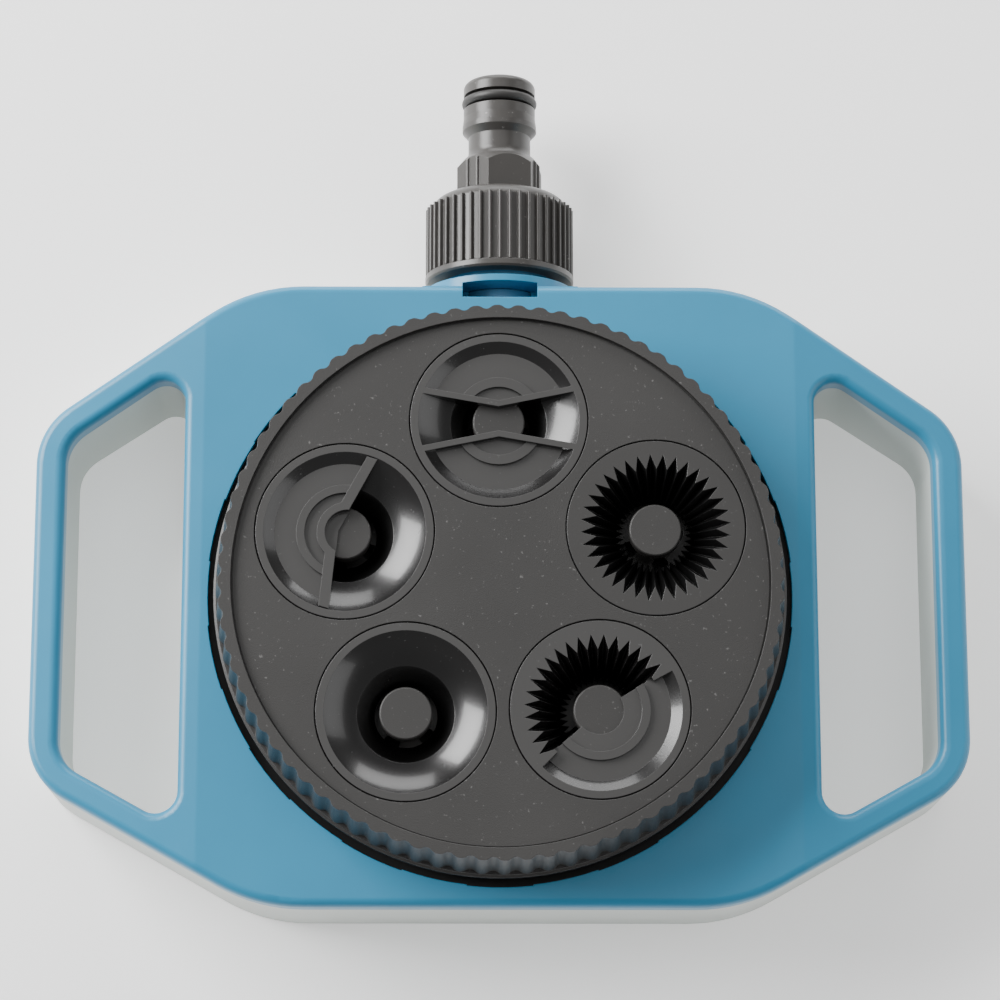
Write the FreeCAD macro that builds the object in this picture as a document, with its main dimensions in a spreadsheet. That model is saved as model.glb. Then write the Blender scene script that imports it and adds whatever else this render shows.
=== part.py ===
"""Five-pattern dial lawn sprinkler, modelled as the pieces it comes apart into.

Frame: the origin is on the ground under the dial's axis, +Z is up, +Y runs to the rear, where the
hose connector is, and +X is to the right seen from the front.  Everything is in millimetres.

The sheet holds the driving dimensions.  A sketch corner or a feature length is an expression
over those cells, so a changed cell changes every piece that meets it.
"""
import FreeCAD, Part
import math
import os
import re

import Sketcher
from FreeCAD import Placement, Rotation, Vector

DIMENSIONS = {
    "Body outline": [
        ("half_width", 107.1, "axis to the outside of a grip"),
        ("rear_edge", 73.3, "axis to the straight rear edge"),
        ("front_edge", 71.1, "axis to the straight front edge"),
        ("rear_corner_x", 57.1, "where the rear edge turns towards the grip"),
        ("rear_grip_y", 40.3, "where the rear slope meets the grip"),
        ("front_corner_x", 54.5, "where the front edge turns towards the grip"),
        ("front_grip_y", 41.4, "where the front slope meets the grip"),
        ("rear_corner_round", 38, "radius of the rear body corners"),
        ("front_corner_round", 40, "radius of the front body corners"),
        ("grip_corner_round", 16, "radius of the grip corners"),
    ],
    "Hand holes": [
        ("hole_near_x", 72.6, "side towards the dial"),
        ("hole_far_x", 100.2, "side towards the grip"),
        ("hole_rear_near_y", 54.9, "rear corner towards the dial"),
        ("hole_rear_far_y", 36.7, "rear corner towards the grip"),
        ("hole_front_near_y", 53.4, "front corner towards the dial"),
        ("hole_front_far_y", 37.8, "front corner towards the grip"),
        ("hole_near_round", 5, "corner radius towards the dial"),
        ("hole_far_round", 9, "corner radius towards the grip"),
    ],
    "Heights": [
        ("cover_top", 36, "flat top of the cover"),
        ("seam", 30, "where the cover meets the base"),
        ("crease_x", 68.1, "where the flat top turns down into a wing"),
        ("grip_drop", 5, "how far the wings fall from crease to grip"),
        ("base_wall", 2, "wall of the base"),
        ("cover_wall", 2.2, "wall of the cover"),
        ("crease_round", 4, "soft bend at the crease"),
        ("cover_edge_round", 2, "rounding of the cover's outer edges"),
    ],
    "Dial": [
        ("dial_turn", 0.8, "turn of the dial off its stop, in degrees"),
        ("face_top", 53.24, "dial face"),
        ("rim_top", 54.6, "top of the rim"),
        ("face_edge", 60.16, "where the face meets the rim"),
        ("scallop_peak", 63.06, "rim radius over a scallop"),
        ("scallop_depth", 0.85, "how deep the valley between two scallops is"),
        ("scallop_share", 0.31, "half of a bump, as a share of its pitch"),
        ("scallop_flare", 1.35, "how far the wall spreads on the way down"),
        ("scallop_bottom", 40.2, "lower end of the scallops"),
        ("scallop_count", 80, "scallops around the rim"),
        ("lip_radius", 65, "smooth lip under the scallops"),
        ("lip_top", 39.2, "upper side of the lip"),
        ("lip_bottom", 37.4, "lower side of the lip"),
        ("skirt_radius", 63.6, "skirt under the lip"),
        ("skirt_bottom", 33.4, "lower end of the skirt"),
        ("cap_wall", 2.2, "thickness of the dial cap"),
        ("opening_radius", 66.5, "opening for the dial in the cover"),
        ("opening_step", 0.25, "depth of the shallow steps in the opening"),
        ("opening_steps", 14, "shallow steps around the opening"),
        ("face_groove", 0.35, "width and depth of the groove at the foot of the rim"),
    ],
    "Nozzles": [
        ("pitch_radius", 36.58, "dial axis to nozzle axis"),
        ("nozzle_radius", 20.2, "outside of a nozzle insert"),
        ("nozzle_gap", 0.06, "gap between insert and dial cap"),
        ("nozzle_round", 0.35, "rounded upper edge of an insert"),
        ("nozzle_bottom", 36.9, "underside of an insert, on its gasket"),
        ("cup_radius", 18.2, "rim of a cup"),
        ("bowl_radius", 15.8, "cup radius at the depth of the floors"),
        ("throat_radius", 10.9, "where the cup turns into the throat"),
        ("throat_depth", 4.2, "how far the throat's edge is under the face"),
        ("chamber_radius", 9, "water chamber under the cup"),
        ("chamber_top", 45.5, "top of the chamber"),
        ("slot_radius", 7, "mouth of the chamber around the button"),
        ("pin_radius", 5.85, "flat button at the middle"),
        ("pin_bore", 6.05, "hole around the button"),
        ("pin_drop", 2.5, "how far the button lies under the face"),
        ("cover_bore", 5.3, "edge of a closed side over the button"),
        ("floor_depth", 1.9, "shallow floor of a closed side"),
        ("step_height", 0.9, "raised ring on a shallow floor"),
        ("outer_ring", 10.1, "outside of the strip nozzle's raised ring"),
        ("tooth_tip", 16.9, "tooth tips of a star"),
        ("tooth_root", 13.5, "tooth roots of a star"),
        ("tooth_pitch", 10, "degrees from tooth to tooth"),
        ("half_star_teeth", 19, "teeth of the half star"),
        ("half_star_floor", 172, "sector of the half star's inner floor, in degrees"),
        ("half_star_wall", 163, "sector of the half star's closed wall, in degrees"),
        ("strip_rib", 1.4, "rib width of the strip nozzle"),
        ("strip_waist", 3.5, "its rib centre line at the middle"),
        ("strip_end", 6.9, "its rib centre line at the ends"),
        ("strip_shift", 0.3, "both ribs towards the rear"),
        ("cone_rib", 2.4, "rib width of the half cone"),
        ("cone_waist", 2.7, "its rib centre line at the middle, on the closed side"),
        ("cone_end", -0.8, "its rib centre line at the ends, on the open side"),
        ("rib_reach", 17.8, "how far from the middle a rib ends"),
        ("channel_share", 0.62, "how much of a rib's length the raised rings take up"),
        ("shelter_inner", 5.1, "curved wall around the half cone's button, inside"),
        ("shelter_outer", 6.9, "curved wall around the half cone's button, outside"),
        ("shelter_shift", 0.7, "curved wall around its button, towards the open side"),
    ],
    "Inside": [
        ("plate_radius", 58, "valve plate"),
        ("plate_bottom", 33.5, "underside of the valve plate"),
        ("plate_top", 36.5, "top of the valve plate"),
        ("port_radius", 6, "five ports through the plate"),
        ("boss_circle", 44, "dial axis to the cap screws"),
        ("notch_circle", 54, "dial axis to the click notches"),
        ("spindle_radius", 5.9, "spindle under the plate"),
        ("bearing_radius", 6, "bearing bore in the deck"),
        ("spindle_bottom", 25.8, "lower end of the spindle"),
        ("deck_radius", 68.4, "inner deck"),
        ("deck_bottom", 29.5, "underside of the deck"),
        ("deck_top", 31.5, "top of the deck"),
        ("deck_screw_circle", 60.2, "dial axis to the deck screws"),
        ("cover_screw_x", 51.5, "cover screws from the middle plane"),
        ("cover_screw_y", 57.5, "cover screws from the axis"),
        ("boss_radius", 3.9, "screw bosses in the base"),
        ("boss_outer", 3.5, "screw bosses in the dial cap"),
        ("screw_pilot", 1.2, "hole that a screw cuts its thread in"),
    ],
    "Water way": [
        ("inlet_height", 19, "hose axis over the ground"),
        ("tube_radius", 6.5, "inlet tube"),
        ("tube_bore", 4.75, "water way"),
        ("cup_outer", 9.5, "outlet cup under the dial"),
        ("cup_bore", 7.6, "seat for seal and spring"),
        ("collar_radius", 17.9, "collar around the inlet"),
        ("collar_height", 17.95, "height of the collar's axis"),
        ("collar_rear", 76.1, "rear face of the collar"),
        ("window_half", 8.7, "half width of the window"),
        ("window_front", 70.4, "front side of the window"),
        ("window_rear", 74.5, "rear side of the window"),
        ("swell_radius", 9.8, "swelling of the tube inside the collar"),
        ("swell_front", 70, "front of the swelling"),
        ("swell_rear", 75, "rear of the swelling"),
        ("tab_half", 18.1, "half width of the cover's tab at the collar"),
        ("collar_wall", 1.6, "collar in front of the window"),
        ("way_gap", 0.3, "gap around the tube in the collar"),
        ("tube_way_end", 55, "how far in the way for the tube reaches"),
        ("spigot_front", 77.2, "where the threaded spigot starts"),
        ("spigot_end", 87, "end of the spigot"),
        ("thread_radius", 13.22, "crest of the G3/4 thread"),
        ("thread_root", 12.1, "root of the G3/4 thread"),
        ("thread_pitch", 1.814, "14 threads to the inch"),
    ],
    "Hose connector": [
        ("nut_front", 78, "front face of the nut"),
        ("nut_rear", 99.2, "rear face of the nut"),
        ("nut_radius", 17.5, "outside of the nut"),
        ("nut_bore", 13.5, "bore over the spigot"),
        ("nut_shoulder", 91.6, "inner face of the nut's shoulder"),
        ("shank_hole", 10.75, "hole in the nut's shoulder"),
        ("rib_count", 46, "ribs around the nut"),
        ("rib_height", 0.9, "height of a rib"),
        ("rib_front", 79.9, "front end of the ribs"),
        ("rib_rear", 96.4, "rear end of the ribs"),
        ("flange_front", 88.9, "front face of the nipple's flange"),
        ("flange_rear", 91.4, "rear face of the nipple's flange"),
        ("flange_radius", 12.9, "nipple's flange"),
        ("flange_bore", 7.6, "seat of the filter"),
        ("shank_radius", 10.5, "nipple inside the nut's shoulder"),
        ("hex_front", 99.6, "front of the hexagon"),
        ("hex_chamfer", 106.7, "where the hexagon's corners are turned down"),
        ("hex_rear", 109, "rear of the hexagon"),
        ("hex_corner", 10.45, "hexagon corner radius"),
        ("hex_turn", 45, "angle of a corner, in degrees"),
        ("bead_radius", 0.5, "grip beads on the hexagon"),
        ("neck_radius", 7.42, "neck"),
        ("neck_flare", 1.1, "how much the neck widens at the hexagon"),
        ("ridge_front", 114.6, "front foot of the catch ridge"),
        ("ridge_middle", 116.2, "crest of the catch ridge"),
        ("ridge_rear", 119.4, "rear foot of the catch ridge"),
        ("ridge_radius", 8.85, "catch ridge"),
        ("nose_radius", 8.58, "nose"),
        ("groove_front", 121.7, "front of the O-ring groove"),
        ("groove_rear", 125.1, "rear of the O-ring groove"),
        ("groove_radius", 6.5, "bottom of the O-ring groove"),
        ("nose_end", 128.6, "tip of the nose"),
        ("nose_bore", 4.5, "water way through the nipple"),
        ("ring_radius", 7.75, "O-ring centre line"),
        ("ring_section", 1.24, "O-ring section radius"),
    ],
}

PLANES = {"XY": "XY_Plane", "XZ": "XZ_Plane", "YZ": "YZ_Plane"}
NOZZLES = ("strip", "full_star", "half_star", "full_cone", "half_cone")
TURN = 360 / len(NOZZLES)
BUTTON_CEILING = "face_top - pin_drop + 0.2"

document = FreeCAD.newDocument("sprinkler")
sheet = document.addObject("Spreadsheet::Sheet", "dims")
parts = []


# ---------------------------------------------------------------- sheet and expressions
def fill_sheet():
    row = 1
    for title, cells in DIMENSIONS.items():
        sheet.set(f"A{row}", title)
        for alias, size, meaning in cells:
            row += 1
            sheet.set(f"A{row}", meaning)
            sheet.set(f"B{row}", str(size))
            sheet.setAlias(f"B{row}", alias)
        row += 2
    document.recompute()


ALIASES = {alias for cells in DIMENSIONS.values() for alias, _, _ in cells}


def bound(text):
    """An expression over the sheet, from one over its aliases."""
    return re.sub(r"[A-Za-z_]\w*", lambda word: ("dims." if word.group() in ALIASES else "") + word.group(),
                  str(text))


def size(text):
    """The present value of an expression over the aliases."""
    found = sheet.evalExpression(bound(text))
    return float(getattr(found, "Value", found))


def bind(target, **expressions):
    """Bind properties of one object to expressions over the aliases."""
    for name, text in expressions.items():
        target.setExpression(name, bound(text))


# ---------------------------------------------------------------- sketches and features
def new_body(label, height=None, part=True):
    body = document.addObject("PartDesign::Body", label)
    body.Label = label
    if height is not None:
        bind(body, **{"Placement.Base.z": height})
    if part:
        parts.append(body)
    return body


def new_sketch(body, plane, level=None):
    sketch = body.newObject("Sketcher::SketchObject", body.Label + "_sketch")
    origin = next(item for item in body.Origin.OriginFeatures if item.Role == PLANES[plane])
    sketch.AttachmentSupport = (origin, [""])
    sketch.MapMode = "FlatFace"
    if level is not None:
        bind(sketch, **{"AttachmentOffset.Base.z": level})
    return sketch


def add_bound(sketch, kind, geometry, point, text):
    """Hold one point of a geometry at a distance from the sketch's origin."""
    constraint = Sketcher.Constraint(kind, -1, 1, geometry, point, size(text))
    index = sketch.addConstraint(constraint)
    sketch.setExpression(f"Constraints[{index}]", bound(text))


def add_outline(sketch, corners):
    """A closed outline.  A corner with four values starts an arc, through the second pair."""
    points = [Vector(size(corner[0]), size(corner[1]), 0) for corner in corners]
    first = sketch.GeometryCount
    count = len(points)
    ends = []
    for index, corner in enumerate(corners):
        start, end = points[index], points[(index + 1) % count]
        if len(corner) == 2:
            sketch.addGeometry(Part.LineSegment(start, end), False)
            ends.append((1, 2))
        else:
            middle = Vector(size(corner[2]), size(corner[3]), 0)
            arc = sketch.addGeometry(Part.Arc(start, middle, end), False)
            forward = sketch.getPoint(arc, 1).distanceToPoint(start) < 1e-6
            ends.append((1, 2) if forward else (2, 1))
    for index in range(count):
        following = (index + 1) % count
        sketch.addConstraint(Sketcher.Constraint("Coincident", first + index, ends[index][1],
                                                 first + following, ends[following][0]))
    for index, corner in enumerate(corners):
        add_bound(sketch, "DistanceX", first + index, ends[index][0], corner[0])
        add_bound(sketch, "DistanceY", first + index, ends[index][0], corner[1])


def add_circle(sketch, radius, across="0", along="0"):
    centre = Vector(size(across), size(along), 0)
    circle = sketch.addGeometry(Part.Circle(centre, Vector(0, 0, 1), size(radius)), False)
    add_bound(sketch, "DistanceX", circle, 3, across)
    add_bound(sketch, "DistanceY", circle, 3, along)
    index = sketch.addConstraint(Sketcher.Constraint("Radius", circle, size(radius)))
    sketch.setExpression(f"Constraints[{index}]", bound(radius))


def outline(body, plane, corners, level=None):
    sketch = new_sketch(body, plane, level)
    add_outline(sketch, corners)
    return sketch


def circles(body, plane, rings, level=None):
    """Circles given as (radius, across, along)."""
    sketch = new_sketch(body, plane, level)
    for ring in rings:
        add_circle(sketch, *ring)
    return sketch


def feature(body, kind, sketch, **expressions):
    step = body.newObject("PartDesign::" + kind, f"{body.Label}_{kind.lower()}")
    step.Profile = sketch
    bind(step, **expressions)
    return step


def pad(body, sketch, length, backwards=False):
    step = feature(body, "Pad", sketch, Length=length)
    step.Reversed = backwards
    document.recompute()
    return step


def pocket(body, sketch, length=None, backwards=False, both_ways=False):
    """Cut a sketch through the body; a cut that takes nothing away is an error."""
    document.recompute()
    before = body.Shape.Volume
    step = feature(body, "Pocket", sketch)
    if length is None:
        step.Type = "ThroughAll"
    else:
        bind(step, Length=length)
    step.Reversed = backwards
    step.Midplane = both_ways
    document.recompute()
    if body.Shape.Volume > before - 1e-3:
        raise ValueError(f"{body.Label}: a pocket cuts nothing")
    return step


def spin(body, sketch, axis="V_Axis"):
    step = body.newObject("PartDesign::Revolution", body.Label + "_spin")
    step.Profile = sketch
    step.ReferenceAxis = (sketch, [axis])
    step.Angle = 360
    document.recompute()
    return step


def spin_cut(body, sketch, sector=None, axis="V_Axis"):
    document.recompute()
    before = body.Shape.Volume
    step = body.newObject("PartDesign::Groove", body.Label + "_groove")
    step.Profile = sketch
    step.ReferenceAxis = (sketch, [axis])
    step.Angle = 360
    if sector is not None:
        bind(step, Angle=sector)
        step.Midplane = True
    document.recompute()
    if body.Shape.Volume > before - 1e-3:
        raise ValueError(f"{body.Label}: a groove cuts nothing")
    return step


def around(body, step, count, plane="XY"):
    """Repeat a feature around the normal of one of the body's planes."""
    axes = {"XY": "Z_Axis", "XZ": "Y_Axis"}
    axis = next(item for item in body.Origin.OriginFeatures if item.Role == axes[plane])
    pattern = body.newObject("PartDesign::PolarPattern", step.Name + "_pattern")
    pattern.Originals = [step]
    pattern.Axis = (axis, [""])
    pattern.Angle = 360
    bind(pattern, Occurrences=count)
    body.Tip = pattern
    document.recompute()
    return pattern


def edges_where(shape, test):
    return [f"Edge{number}" for number, edge in enumerate(shape.Edges, 1) if test(edge)]


def faces_where(shape, test):
    return [f"Face{number}" for number, face in enumerate(shape.Faces, 1) if test(face)]


def round_edges(body, radius, test):
    base = body.Tip
    step = body.newObject("PartDesign::Fillet", body.Label + "_fillet")
    step.Base = (base, edges_where(base.Shape, test))
    bind(step, Radius=radius)
    document.recompute()
    return step


def upright_at(spots):
    """A test for the vertical edges that stand on one of the given corners."""
    places = [(size(across), size(along)) for across, along in spots]

    def test(edge):
        start, end = edge.Vertexes[0].Point, edge.Vertexes[-1].Point
        if abs(start.z - end.z) < 1:
            return False
        return any(math.hypot(start.x - x, start.y - y) < 0.01 and math.hypot(end.x - x, end.y - y) < 0.01
                   for x, y in places)
    return test


# ---------------------------------------------------------------- body outline
def mirrored(corners):
    """Corners on the right and, in reverse order, their mirror images on the left."""
    return corners + [(f"-{across}", along) for across, along in reversed(corners)]


REAR_CORNERS = mirrored([("rear_corner_x", "rear_edge")])
FRONT_CORNERS = mirrored([("front_corner_x", "-front_edge")])
GRIP_CORNERS = mirrored([("half_width", "-front_grip_y"), ("half_width", "rear_grip_y")])
OUTLINE = mirrored([("front_corner_x", "-front_edge"), ("half_width", "-front_grip_y"),
                    ("half_width", "rear_grip_y"), ("rear_corner_x", "rear_edge")])
HAND_HOLE = [("hole_near_x", "-hole_front_near_y"), ("hole_far_x", "-hole_front_far_y"),
             ("hole_far_x", "hole_rear_far_y"), ("hole_near_x", "hole_rear_near_y")]
NEAR_CORNERS = mirrored([HAND_HOLE[0], HAND_HOLE[3]])
FAR_CORNERS = mirrored([HAND_HOLE[1], HAND_HOLE[2]])
COVER_SCREWS = [(f"{side}cover_screw_x", f"{end}cover_screw_y") for side in ("", "-") for end in ("", "-")]
DECK_SCREWS = [(f"deck_screw_circle * cos({angle})", f"deck_screw_circle * sin({angle})")
               for angle in (35, 145, 215, 325)]


def outline_block(body, bottom, top):
    """The plan outline with both hand holes, as a plain block."""
    pad(body, outline(body, "XY", OUTLINE, bottom), f"({top}) - ({bottom})")
    round_edges(body, "rear_corner_round", upright_at(REAR_CORNERS))
    round_edges(body, "front_corner_round", upright_at(FRONT_CORNERS))
    round_edges(body, "grip_corner_round", upright_at(GRIP_CORNERS))
    for side in ("", "-"):
        corners = [(side + across, along) for across, along in HAND_HOLE]
        pocket(body, outline(body, "XY", corners, bottom), backwards=True)
    round_edges(body, "hole_near_round", upright_at(NEAR_CORNERS))
    round_edges(body, "hole_far_round", upright_at(FAR_CORNERS))


def roof_height(x, plateau):
    """Height of the roof line, or of the seam under it, at a distance from the middle plane."""
    past = max(0, abs(x) - size("crease_x")) / (size("half_width") - size("crease_x"))
    return size(plateau) - size("grip_drop") * past


def roof_cut(body, plateau, above):
    """Cut everything above (or below) the roof line, which falls from the creases to the grips."""
    limit = f"({plateau}) + 20" if above else f"({plateau}) - 30"
    reach = "(half_width + 10)"
    low = f"({plateau}) - grip_drop * (half_width + 10 - crease_x) / (half_width - crease_x)"
    corners = [("-crease_x", plateau), ("crease_x", plateau), (reach, low),
               (reach, limit), (f"-{reach}", limit), (f"-{reach}", low)]
    pocket(body, outline(body, "XZ", corners), both_ways=True)


def hollow(body, wall, downwards):
    """Open the block at the top or the bottom and leave a wall everywhere else."""
    def opened(face):
        normal = face.normalAt(0, 0)
        return normal.z < -0.9 if downwards else normal.z > 0.9

    base = body.Tip
    step = body.newObject("PartDesign::Thickness", body.Label + "_wall")
    step.Base = (base, faces_where(base.Shape, opened))
    bind(step, Value=wall)
    step.Mode = 0
    step.Join = 1
    step.Reversed = True
    document.recompute()
    return step


def collar(body):
    """A disc around the hose axis, from its rear face to just inside the rear wall."""
    disc = circles(body, "XZ", [("collar_radius", "0", "collar_height")], "-collar_rear")
    return pad(body, disc, "collar_rear - window_front + collar_wall")


def tube_way(body):
    """The way through the collar, wider where the tube swells."""
    way = circles(body, "XZ", [("tube_radius + way_gap", "0", "inlet_height")], "-collar_rear - 1")
    pocket(body, way, "collar_rear - tube_way_end", backwards=True)
    swell = circles(body, "XZ", [("swell_radius + way_gap", "0", "inlet_height")], "-swell_rear - way_gap")
    pocket(body, swell, "swell_rear - swell_front + 2 * way_gap", backwards=True)


def block_cut(body, plane, left, right, low, high, level, length, backwards=False):
    corners = [(left, low), (right, low), (right, high), (left, high)]
    return pocket(body, outline(body, plane, corners, level), length, backwards)


# ---------------------------------------------------------------- casing
def base_shell():
    body = new_body("base_shell")
    outline_block(body, "0", "seam")
    roof_cut(body, "seam", above=True)
    hollow(body, "base_wall", downwards=False)
    bosses = [("boss_radius",) + spot for spot in COVER_SCREWS]
    pad(body, circles(body, "XY", bosses, "base_wall / 2"), "seam - base_wall / 2")
    bosses = [("boss_radius",) + spot for spot in DECK_SCREWS]
    pad(body, circles(body, "XY", bosses, "base_wall / 2"), "deck_bottom - base_wall / 2")
    collar(body)
    block_cut(body, "XZ", "-tab_half - 0.1", "tab_half + 0.1", "inlet_height", "seam + 10",
              "-collar_rear - 1", "collar_rear - window_front + collar_wall + 1.2", backwards=True)
    tube_way(body)
    heads = [("2.9",) + spot for spot in COVER_SCREWS]
    pocket(body, circles(body, "XY", heads), "20", backwards=True)
    holes = [("1.7",) + spot for spot in COVER_SCREWS]
    pocket(body, circles(body, "XY", holes), backwards=True)
    holes = [("1.2",) + spot for spot in DECK_SCREWS]
    pocket(body, circles(body, "XY", holes, "deck_bottom + 1"), "13")
    return body


def on_crease(edge):
    """A test for the two lines where the flat top turns down into a wing."""
    ends = [vertex.Point for vertex in edge.Vertexes]
    crease, top = size("crease_x"), size("cover_top")
    along = abs(ends[0].y - ends[-1].y) > 5
    return along and all(abs(abs(point.x) - crease) < 0.01 and abs(point.z - top) < 0.01 for point in ends)


def on_rim(edge):
    """A test for the edges around the cover's top and its hand holes, apart from the soft creases."""
    ends = [vertex.Point for vertex in edge.Vertexes]
    if len(ends) < 2 or any(point.z < roof_height(point.x, "cover_top") - 0.6 for point in ends):
        return False
    middle = (edge.FirstParameter + edge.LastParameter) / 2
    direction = edge.tangentAt(middle)
    beside_crease = abs(abs(edge.valueAt(middle).x) - size("crease_x")) < 3 and abs(direction.y) > 0.99
    return abs(direction.z) < 0.9 and not beside_crease


def top_cover():
    body = new_body("top_cover")
    outline_block(body, "seam - 6", "cover_top")
    roof_cut(body, "cover_top", above=True)
    roof_cut(body, "seam", above=False)
    hollow(body, "cover_wall", downwards=True)
    round_edges(body, "crease_round", on_crease)
    round_edges(body, "cover_edge_round", on_rim)
    posts = [("boss_radius",) + spot for spot in COVER_SCREWS]
    pad(body, circles(body, "XY", posts, "seam"), "cover_top - cover_wall / 2 - seam")
    holes = [("1.2",) + spot for spot in COVER_SCREWS]
    pocket(body, circles(body, "XY", holes, "seam - 1"), "5.5", backwards=True)
    collar(body)
    tab = [("-tab_half", "inlet_height"), ("tab_half", "inlet_height"),
           ("tab_half", "cover_top - cover_wall / 2"), ("-tab_half", "cover_top - cover_wall / 2")]
    pad(body, outline(body, "XZ", tab, "-rear_edge"), "rear_edge - window_front + collar_wall")
    block_cut(body, "XZ", "-tab_half - 1", "tab_half + 1", "-1", "inlet_height",
              "-collar_rear - 1", "collar_rear - window_front + 4", backwards=True)
    tube_way(body)
    block_cut(body, "XY", "-window_half", "window_half", "window_front", "window_rear", "cover_top + 5", "15")
    pocket(body, circles(body, "XY", [("opening_radius", "0", "0")], "cover_top + 5"), "15")
    opening_steps(body)
    return body


def opening_steps(body):
    """Shallow steps around the dial opening: every second stretch stands back a little."""
    corners = [("opening_radius - 3", "seam - 8"), ("opening_radius + opening_step", "seam - 8"),
               ("opening_radius + opening_step", "cover_top + 1"), ("opening_radius - 3", "cover_top + 1")]
    step = spin_cut(body, outline(body, "YZ", corners), "180 / opening_steps")
    around(body, step, "opening_steps")


def inner_deck():
    body = new_body("inner_deck")
    ring = [("bearing_radius", "spindle_bottom + 0.2"), ("bearing_radius + 3", "spindle_bottom + 0.2"),
            ("bearing_radius + 3", "deck_bottom"), ("deck_radius", "deck_bottom"),
            ("deck_radius", "deck_top"), ("bearing_radius + 3", "deck_top"),
            ("bearing_radius + 3", "plate_bottom - 0.3"), ("bearing_radius", "plate_bottom - 0.3")]
    spin(body, outline(body, "XZ", ring))
    click = ("notch_circle * sin(36)", "notch_circle * cos(36)")
    pad(body, circles(body, "XY", [("3.4",) + click], "deck_bottom - 8"), "9")
    pocket(body, circles(body, "XY", [("1.7",) + click], "deck_bottom - 6.5"), backwards=True)
    pocket(body, circles(body, "XY", [("cup_outer + 0.3", "0", "pitch_radius")]), backwards=True)
    holes = [("1.6",) + spot for spot in DECK_SCREWS]
    pocket(body, circles(body, "XY", holes), backwards=True)
    heads = [("2.9",) + spot for spot in DECK_SCREWS]
    pocket(body, circles(body, "XY", heads, "deck_top + 1"), "2.2")
    return body


# ---------------------------------------------------------------- water way
def thread(start, end, crest, root, pitch):
    """Half profile of a thread shown as rings: (along, radius) pairs from start to end."""
    turns = int((size(end) - size(start)) / size(pitch))
    profile = [(start, root)]
    for turn in range(turns):
        for share, radius in ((0.1, root), (0.4, crest), (0.6, crest), (0.9, root)):
            profile.append((f"{start} + ({turn} + {share}) * {pitch}", radius))
    return profile + [(end, root)]


def inlet_manifold():
    body = new_body("inlet_manifold", "inlet_height")
    cup = circles(body, "XY", [("cup_outer", "0", "pitch_radius")], "-tube_radius")
    pad(body, cup, "plate_bottom - 0.5 - inlet_height + tube_radius")
    profile = [("pitch_radius", "0"), ("pitch_radius", "tube_radius"), ("swell_front", "tube_radius"),
               ("swell_front", "swell_radius - 0.6"), ("swell_front + 0.6", "swell_radius"),
               ("swell_rear - 0.6", "swell_radius"), ("swell_rear", "swell_radius - 0.6"),
               ("swell_rear", "tube_radius"), ("spigot_front", "tube_radius"),
               ("spigot_front", "thread_root")]
    profile += thread("spigot_front + 0.6", "spigot_end", "thread_radius", "thread_root", "thread_pitch")
    profile += [("spigot_end", "0")]
    spin(body, outline(body, "YZ", profile), "H_Axis")
    seat = circles(body, "XY", [("cup_bore", "0", "pitch_radius")], "plate_bottom - inlet_height")
    pocket(body, seat, "8.5")
    bore = circles(body, "XY", [("tube_bore", "0", "pitch_radius")], "0")
    pocket(body, bore, backwards=True)
    bore = circles(body, "XZ", [("tube_bore", "0", "0")], "-pitch_radius")
    pocket(body, bore)
    return body


def port_seal():
    body = new_body("port_seal")
    profile = [("4.7", "29.5"), ("cup_bore - 0.15", "29.5"), ("cup_bore - 0.15", "32.4"),
               ("cup_bore - 0.8", "plate_bottom - 0.1"), ("4.7", "plate_bottom - 0.1")]
    spin(body, outline(body, "XZ", profile))
    body.Placement.Base = Vector(0, size("pitch_radius"), 0)
    bind(body, **{"Placement.Base.y": "pitch_radius"})
    return body


def coil(label, radius, wire, low, high, turns):
    """A compression spring with round wire, standing on the XY plane of its body."""
    body = new_body(label)
    wire_section = circles(body, "XZ", [(wire, radius, f"({low}) + ({wire})")])
    step = body.newObject("PartDesign::AdditiveHelix", label + "_coil")
    step.Profile = wire_section
    step.ReferenceAxis = (wire_section, ["V_Axis"])
    step.Mode = "height-turns-angle"
    bind(step, Height=f"({high}) - ({low}) - 2 * ({wire})", Turns=turns)
    document.recompute()
    return body


def seal_spring():
    body = coil("seal_spring", "6.2", "0.45", "25", "29.45", "3")
    bind(body, **{"Placement.Base.y": "pitch_radius"})
    return body


def click_pieces():
    """Spring and rounded plunger that click the dial into each of its five places."""
    spot = {"Placement.Base.x": "notch_circle * sin(36)", "Placement.Base.y": "notch_circle * cos(36)"}
    bind(coil("click_spring", "1.15", "0.25", "deck_bottom - 6.45", "deck_bottom - 1.6", "6"), **spot)
    plunger = new_body("click_plunger")
    profile = [("0", "deck_bottom - 1.55"), ("1.6", "deck_bottom - 1.55"), ("1.6", "plate_bottom - 0.9"),
               ("0.9", "plate_bottom - 0.2"), ("0", "plate_bottom - 0.15")]
    spin(plunger, outline(plunger, "XZ", profile))
    bind(plunger, **spot)


# ---------------------------------------------------------------- dial
def dial_place(body, number=None):
    """Place a piece in the dial: turned with it and, for a nozzle's piece, out at its position."""
    turn = "dial_turn" if number is None else f"dial_turn - {number} * {TURN}"
    body.Placement.Rotation = Rotation(Vector(0, 0, 1), size(turn))
    bind(body, **{"Placement.Rotation.Angle": turn})
    if number is not None:
        bind(body, **{"Placement.Base.x": f"-pitch_radius * sin({turn})",
                      "Placement.Base.y": f"pitch_radius * cos({turn})"})


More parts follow.
